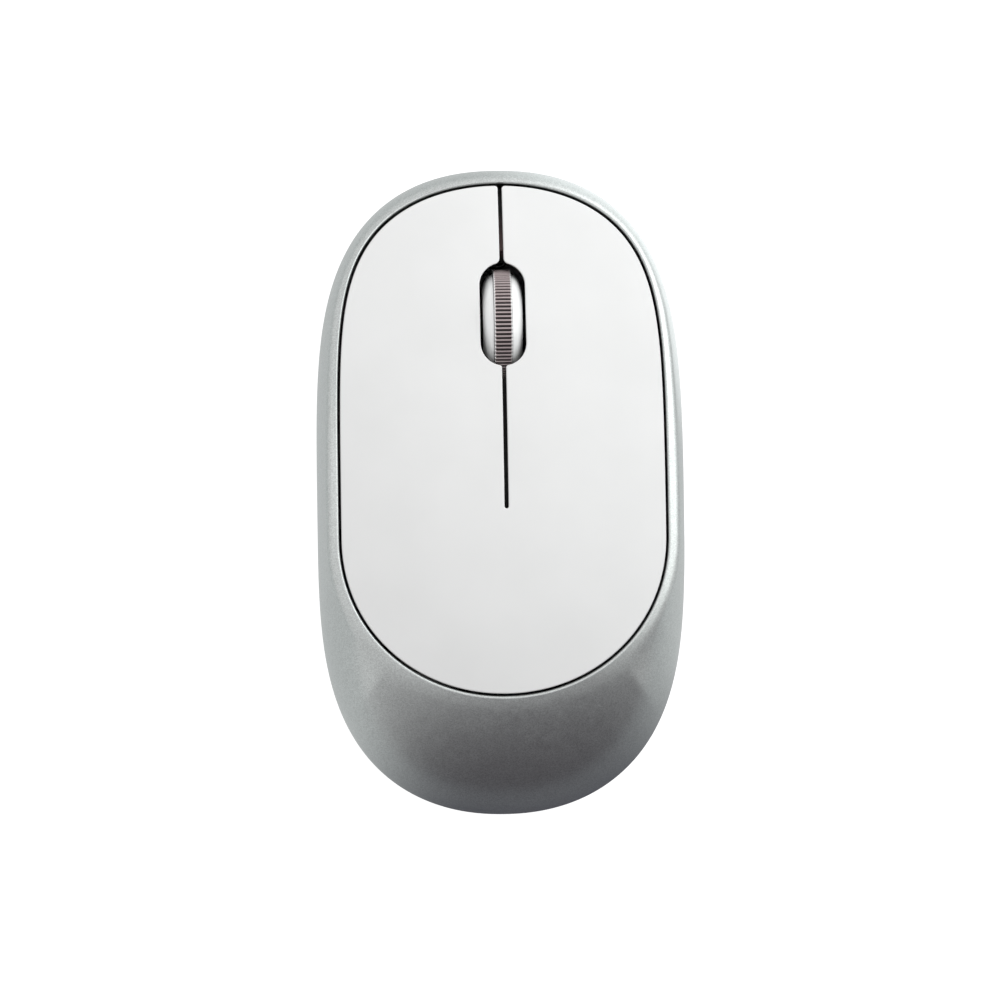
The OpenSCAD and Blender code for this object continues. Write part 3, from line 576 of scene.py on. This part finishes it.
def smooth_step(tree, value, first, last):
    """0 up to the first value, 1 from the last on, and a smooth rise between them."""
    share = tree.nodes.new("ShaderNodeMapRange")
    share.interpolation_type = "SMOOTHSTEP"
    share.inputs["From Min"].default_value = first
    share.inputs["From Max"].default_value = last
    tree.links.new(value, share.inputs["Value"])
    return share.outputs["Result"]


def mixed(tree, share, a, b):
    """A colour between a and b, which are colours or sockets."""
    mix = tree.nodes.new("ShaderNodeMix")
    mix.data_type = "RGBA"
    tree.links.new(share, mix.inputs[0])
    for socket, colour in ((mix.inputs[6], a), (mix.inputs[7], b)):
        if isinstance(colour, bpy.types.NodeSocket):
            tree.links.new(colour, socket)
        else:
            socket.default_value = (*colour, 1)
    return mix.outputs[2]


class Nodes:
    """A material's node tree, with its textures placed in millimetres of the part's own frame."""

    def __init__(self, name, material=None):
        self.material = material or bpy.data.materials.new(name)
        self.material.use_nodes = True
        self.tree = self.material.node_tree
        self.shader = self.tree.nodes["Principled BSDF"]
        place = self.tree.nodes.new("ShaderNodeTexCoord")
        scale = vector_math(self.tree, "SCALE", place.outputs["Object"])
        scale.inputs["Scale"].default_value = 1 / MM
        self.place = scale.outputs[0]

    def link(self, a, b):
        self.tree.links.new(a, b)

    def noise(self, size, detail=2.0):
        """Smooth noise whose blobs are about size millimetres across."""
        node = self.tree.nodes.new("ShaderNodeTexNoise")
        node.inputs["Scale"].default_value = 1 / size
        node.inputs["Detail"].default_value = detail
        self.link(self.place, node.inputs["Vector"])
        return node.outputs["Fac"]

    def cells(self, size):
        """A random value for each cell of about size millimetres."""
        node = self.tree.nodes.new("ShaderNodeTexVoronoi")
        node.inputs["Scale"].default_value = 1 / size
        self.link(self.place, node.inputs["Vector"])
        apart = self.tree.nodes.new("ShaderNodeSeparateColor")
        self.link(node.outputs["Color"], apart.inputs[0])
        return apart.outputs[0]

    def spread(self, value, low, high, first=0.3, last=0.7):
        """Stretches a texture's middle range to low..high."""
        node = self.tree.nodes.new("ShaderNodeMapRange")
        for socket, v in zip(("From Min", "From Max", "To Min", "To Max"), (first, last, low, high)):
            node.inputs[socket].default_value = v
        self.link(value, node.inputs["Value"])
        return node.outputs["Result"]

    def product(self, first, *others):
        """All of the values multiplied together."""
        for other in others:
            node = self.tree.nodes.new("ShaderNodeMath")
            node.operation = "MULTIPLY"
            self.link(first, node.inputs[0])
            self.link(other, node.inputs[1])
            first = node.outputs[0]
        return first

    def colour(self, value, dark, light):
        """Sets the base colour, which goes from dark to light with the value."""
        self.link(mixed(self.tree, value, dark, light), self.shader.inputs["Base Color"])

    def over(self, value, colour):
        """Lays another colour over the base colour where the value is 1."""
        base = self.shader.inputs["Base Color"]
        self.link(mixed(self.tree, value, base.links[0].from_socket, colour), base)

    def attribute(self, name):
        """A value that mark() gave to each point."""
        node = self.tree.nodes.new("ShaderNodeAttribute")
        node.attribute_name = name
        return node.outputs["Fac"]

    def bump(self, value, depth):
        """Fine relief, its depth in millimetres."""
        node = self.tree.nodes.new("ShaderNodeBump")
        node.inputs["Strength"].default_value = 1.0
        node.inputs["Distance"].default_value = depth * MM
        self.link(value, node.inputs["Height"])
        self.link(node.outputs["Normal"], self.shader.inputs["Normal"])


def shades(colour, spread):
    """A darker and a lighter shade of a colour."""
    return [c * (1 - spread) for c in colour], [min(1.0, c * (1 + spread)) for c in colour]


def finish_material(name, colour, rough, metallic=0.0, spread=0.06, grain=0.3, depth=0.004, coat=0.0):
    """A moulded or plated finish: colour that drifts a little, uneven roughness and a fine grain."""
    nodes = Nodes(name)
    dark, light = shades(colour, spread)
    nodes.colour(nodes.spread(nodes.noise(4 * grain, 4), 0, 1), dark, light)
    roughness = nodes.spread(nodes.noise(grain * 2), rough[0], rough[1])
    nodes.link(roughness, nodes.shader.inputs["Roughness"])
    nodes.bump(nodes.noise(grain, 3), depth)
    nodes.shader.inputs["Metallic"].default_value = metallic
    nodes.shader.inputs["Coat Weight"].default_value = coat
    return nodes.material


def silver_paint():
    """Satin metallic paint: fine flakes of differing brightness under a thin clear layer."""
    nodes = Nodes("silver_paint")
    flakes = nodes.spread(nodes.cells(0.14), 0, 1, 0, 1)
    nodes.colour(flakes, (0.463, 0.482, 0.475), (0.635, 0.66, 0.652))
    nodes.link(nodes.spread(nodes.noise(1.5), 0.3, 0.35), nodes.shader.inputs["Roughness"])
    nodes.bump(nodes.noise(0.22, 2), 0.004)
    nodes.shader.inputs["Metallic"].default_value = 0.85
    nodes.shader.inputs["Coat Weight"].default_value = 0.15
    nodes.shader.inputs["Coat Roughness"].default_value = 0.25
    return nodes.material


def white_plate():
    """Matt white face with a very fine spark-eroded texture. Its edge walls and underside, marked
    "wall", are painted near-black: painted shade for the dark lines of the gap and the wheel opening."""
    nodes = Nodes("white_plate")
    nodes.colour(nodes.spread(nodes.noise(14, 3), 0, 1), (0.73, 0.731, 0.728), (0.76, 0.76, 0.758))
    # painted shade: near-black over the marked walls and underside
    nodes.over(nodes.attribute("wall"), (0.03, 0.03, 0.03))
    nodes.link(nodes.spread(nodes.noise(3), 0.48, 0.56), nodes.shader.inputs["Roughness"])
    nodes.bump(nodes.noise(0.16, 3), 0.003)
    return nodes.material


def black_frame():
    """Black moulding, with a painted pool of light on the rib under the front slit: a lighter warm grey
    patch just ahead of the wheel opening that fades forward.
    """
    material = finish_material("black_frame", (0.02, 0.018, 0.018), (0.5, 0.65))
    nodes = Nodes("black_frame", material)
    apart = nodes.tree.nodes.new("ShaderNodeSeparateXYZ")
    nodes.link(nodes.place, apart.inputs[0])
    behind_front = nodes.spread(apart.outputs["Y"], 1, 0, SLOT_FRONT + 3, SLOT_FRONT + 9)
    ahead = nodes.spread(apart.outputs["Y"], 0, 1, SLOT_FRONT + 1.2, SLOT_FRONT + 2)
    right = nodes.spread(apart.outputs["X"], 0, 1, SLIT_X - RIB_HALF - 0.1, SLIT_X - RIB_HALF)
    left = nodes.spread(apart.outputs["X"], 1, 0, SLIT_X + RIB_HALF, SLIT_X + RIB_HALF + 0.1)
    # painted light: the lighter warm grey patch stands for light falling through the slit's funnel onto
    # the black rib
    nodes.over(nodes.product(behind_front, ahead, right, left), (0.3, 0.2, 0.2))
    return material


def band_finish():
    """Knurled warm grey metal: its grooves are painted near-black as painted shade, and its side rims
    are painted light grey as a painted highlight.
    """
    nodes = Nodes("band_grey")
    # painted shade: near-black in the grooves, where the mark 'land' falls to 0
    nodes.colour(nodes.attribute("land"), (0.03, 0.025, 0.026), (0.45, 0.38, 0.38))
    # painted highlight: light grey over the band's side strips
    nodes.over(nodes.attribute("rim"), (0.8, 0.8, 0.8))
    nodes.link(nodes.spread(nodes.noise(0.6), 0.3, 0.4), nodes.shader.inputs["Roughness"])
    nodes.bump(nodes.noise(0.2), 0.001)
    nodes.shader.inputs["Metallic"].default_value = 0.7
    return nodes.material


MATERIALS = {
    "silver_paint": silver_paint(),
    "white_plate": white_plate(),
    "black_frame": black_frame(),
    "base_plastic": finish_material("base_plastic", (0.42, 0.425, 0.43), (0.45, 0.58), grain=0.25,
                                    depth=0.006),
    "foot_ptfe": finish_material("foot_ptfe", (0.62, 0.62, 0.6), (0.3, 0.42), grain=0.4, depth=0.003),
    "zinc_steel": finish_material("zinc_steel", (0.55, 0.55, 0.53), (0.25, 0.42), metallic=1.0),
    "black_steel": finish_material("black_steel", (0.05, 0.05, 0.05), (0.35, 0.5), metallic=0.8),
    "clear_lens": finish_material("clear_lens", (0.75, 0.82, 0.84), (0.05, 0.1), depth=0.0005,
                                  spread=0.02),
    "green_board": finish_material("green_board", (0.015, 0.13, 0.05), (0.25, 0.35), spread=0.15,
                                   grain=0.5, coat=0.4),
    "chip_epoxy": finish_material("chip_epoxy", (0.02, 0.02, 0.022), (0.5, 0.65), grain=0.2),
    "red_led": finish_material("red_led", (0.55, 0.02, 0.015), (0.08, 0.14), depth=0.001),
    "crystal_can": finish_material("crystal_can", (0.62, 0.62, 0.62), (0.2, 0.35), metallic=1.0),
    "capacitor_sleeve": finish_material("capacitor_sleeve", (0.03, 0.07, 0.22), (0.2, 0.32)),
    "switch_black": finish_material("switch_black", (0.02, 0.02, 0.022), (0.4, 0.55)),
    "plunger_red": finish_material("plunger_red", (0.5, 0.03, 0.02), (0.28, 0.4)),
    "plunger_ivory": finish_material("plunger_ivory", (0.68, 0.64, 0.5), (0.28, 0.4)),
    "wheel_silver": finish_material("wheel_silver", (0.9, 0.905, 0.9), (0.28, 0.32), metallic=0.1,
                                    spread=0.015, grain=0.5, depth=0.0002),
    "band_grey": band_finish(),
    "ir_blue": finish_material("ir_blue", (0.4, 0.52, 0.62), (0.08, 0.15), depth=0.001),
    "cell_jacket": finish_material("cell_jacket", (0.05, 0.06, 0.08), (0.2, 0.3), metallic=0.3),
    "wire_black": finish_material("wire_black", (0.02, 0.02, 0.02), (0.4, 0.5)),
    "plug_steel": finish_material("plug_steel", (0.6, 0.6, 0.6), (0.2, 0.32), metallic=1.0),
    "tongue_white": finish_material("tongue_white", (0.7, 0.7, 0.7), (0.4, 0.5)),
}
clear_shader = MATERIALS["clear_lens"].node_tree.nodes["Principled BSDF"]
clear_shader.inputs["Transmission Weight"].default_value = 0.9


def give(obj, slot):
    """Finishes a piece with the material of a slot."""
    obj.data.materials.clear()
    obj.data.materials.append(MATERIALS[slot])


def smooth_cad_node(obj, angle=35.0):
    """Shades a CAD node's curved faces smoothly and leaves its real edges sharp."""
    mesh = obj.data
    mesh.polygons.foreach_set("use_smooth", np.ones(len(mesh.polygons), bool))
    mesh.set_sharp_from_angle(angle=math.radians(angle))


# ------------------------------------------------------------------------------------- stage and light

SKY_DARK = (0.18, -1.0, -0.08)      # where the room is darkest: behind the mouse and to its right
SKY_LIGHT = (0.8, 0.55, 0.12)       # where it is brightest: low down in front and to the right
FLOOR_DARK = (0.22, -1.0, 0.0)      # the same for the floor
FLOOR_LIGHT = (0.42, 0.9, 0.0)
FLOOR_TURN = 0.022                  # metres behind the origin that the floor's bearings start from


def turned(tree, vector, side, first, last, rise=1.0):
    """How far a direction turns towards one side of the room, from 0 to 1 between two cosines.

    A rise under 1 makes the height of the direction count for less than its bearing.
    """
    flatter = vector_math(tree, "MULTIPLY", vector, (1, 1, rise))
    unit = vector_math(tree, "NORMALIZE", flatter.outputs[0])
    cosine = vector_math(tree, "DOT_PRODUCT", unit.outputs[0], Vector(side).normalized())
    return smooth_step(tree, cosine.outputs["Value"], first, last)


def clear_of(tree, vector, half):
    """0 under the mouse, whose half sizes are given, and 1 from its rounded outline on."""
    scaled = vector_math(tree, "MULTIPLY", vector, (1 / half[0], 1 / half[1], 0))
    size = vector_math(tree, "ABSOLUTE", scaled.outputs[0]).outputs[0]
    square = vector_math(tree, "MULTIPLY", size, size)
    cubes = vector_math(tree, "DOT_PRODUCT", square.outputs[0], size)
    return smooth_step(tree, cubes.outputs["Value"], 0.85, 1.0)


def for_camera(tree, seen, other):
    """One colour for what the camera sees directly and another for everything else."""
    path = tree.nodes.new("ShaderNodeLightPath")
    return mixed(tree, path.outputs["Is Camera Ray"], other, seen)


def make_floor():
    """A pale floor: plain white to the camera, darker behind the mouse in what the mouse reflects, and
    clear from below."""
    mesh = bpy.data.meshes.new("floor")
    half = 3.0      # metres
    corners = [(-half, -half, 0), (half, -half, 0), (half, half, 0), (-half, half, 0)]
    mesh.from_pydata(corners, [], [(0, 1, 2, 3)])
    floor = bpy.data.objects.new("floor", mesh)
    floor.location.z = -0.00002     # just under the feet, so that they don't share its plane
    bpy.context.scene.collection.objects.link(floor)
    material = bpy.data.materials.new("floor")
    material.use_nodes = True
    tree = material.node_tree
    output = tree.nodes["Material Output"]
    cloth = tree.nodes["Principled BSDF"]
    tree.links.new(for_camera(tree, (0.35, 0.35, 0.35), (0.1, 0.1, 0.1)), cloth.inputs["Base Color"])
    cloth.inputs["Roughness"].default_value = 0.9
    cloth.inputs["Specular IOR Level"].default_value = 0.0
    spot = tree.nodes.new("ShaderNodeTexCoord").outputs["Object"]
    away = vector_math(tree, "ADD", spot, (0, FLOOR_TURN, 0)).outputs[0]
    plain = (0.585, 0.605, 0.605)
    glow = mixed(tree, turned(tree, away, FLOOR_DARK, 0.33, 0.97), plain, (0.012, 0.012, 0.03))
    glow = mixed(tree, turned(tree, away, FLOOR_LIGHT, 0.88, 1.0), glow, (1.25, 1.3, 1.3))
    glow = mixed(tree, clear_of(tree, spot, cad_high), plain, glow)
    tree.links.new(for_camera(tree, (0.9, 0.9, 0.9), glow), cloth.inputs["Emission Color"])
    cloth.inputs["Emission Strength"].default_value = 1.0
    under = tree.nodes.new("ShaderNodeNewGeometry")
    clear = tree.nodes.new("ShaderNodeBsdfTransparent")
    both = tree.nodes.new("ShaderNodeMixShader")
    tree.links.new(under.outputs["Backfacing"], both.inputs[0])
    tree.links.new(cloth.outputs[0], both.inputs[1])
    tree.links.new(clear.outputs[0], both.inputs[2])
    tree.links.new(both.outputs[0], output.inputs["Surface"])
    mesh.materials.append(material)


def make_light(name, at, size, power, colour=(1, 1, 1)):
    """A soft box, aimed at the mouse; its place is in metres."""
    data = bpy.data.lights.new(name, "AREA")
    data.shape = "RECTANGLE"
    data.size, data.size_y = size
    data.energy = power
    data.color = colour
    lamp = bpy.data.objects.new(name, data)
    lamp.location = at
    lamp.rotation_mode = "QUATERNION"
    lamp.rotation_quaternion = Vector(at).to_track_quat("Z", "Y")
    bpy.context.scene.collection.objects.link(lamp)


def make_world():
    """A pale room: white to the camera, brighter and darker in places in what lights the mouse."""
    world = bpy.data.worlds.new("studio")
    world.use_nodes = True
    tree = world.node_tree
    sky = tree.nodes["Background"]
    direction = tree.nodes.new("ShaderNodeTexCoord").outputs["Generated"]
    level = mixed(tree, turned(tree, direction, SKY_LIGHT, 0.62, 0.95), (0.89, 0.89, 0.89),
                  (1.23, 1.25, 1.25))
    level = mixed(tree, turned(tree, direction, SKY_DARK, 0.32, 0.92, rise=0.4), level,
                  (0.014, 0.004, 0.016))
    tree.links.new(for_camera(tree, (1.0, 1.0, 1.0), level), sky.inputs["Color"])
    bpy.context.scene.world = world


make_floor()
make_world()
make_light("softbox_right", (0.5, 0.1, 0.62), (0.6, 0.8), 1.7, (0.965, 1.0, 0.985))
make_light("softbox_front", (0.5, 0.72, 0.45), (0.8, 0.6), 1.8)
make_light("softbox_left", (-0.3, 0.1, 0.75), (0.2, 0.7), 0.24)
make_light("softbox_rear", (-0.05, -0.33, 0.75), (0.6, 0.25), 0.16)
bpy.context.scene.view_settings.view_transform = "Standard"

# --------------------------------------------------------------------------------------- the object

made = [make_shell(), make_plate_half(-1, "plate_left", ["left_key", "palm_cover"]),
        make_plate_half(1, "plate_right", ["right_key"]), make_barrel(), make_band(),
        make_spring()]
for obj in made:
    give(obj, obj["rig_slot"])

node_slots = {s["node"]: s["material_slot"] for s in frame["record"]["subparts"]}
for node, obj in frame["nodes"].items():
    if not obj.hide_render:
        smooth_cad_node(obj)
        give(obj, node_slots[node])
        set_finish(obj, node_slots[node])
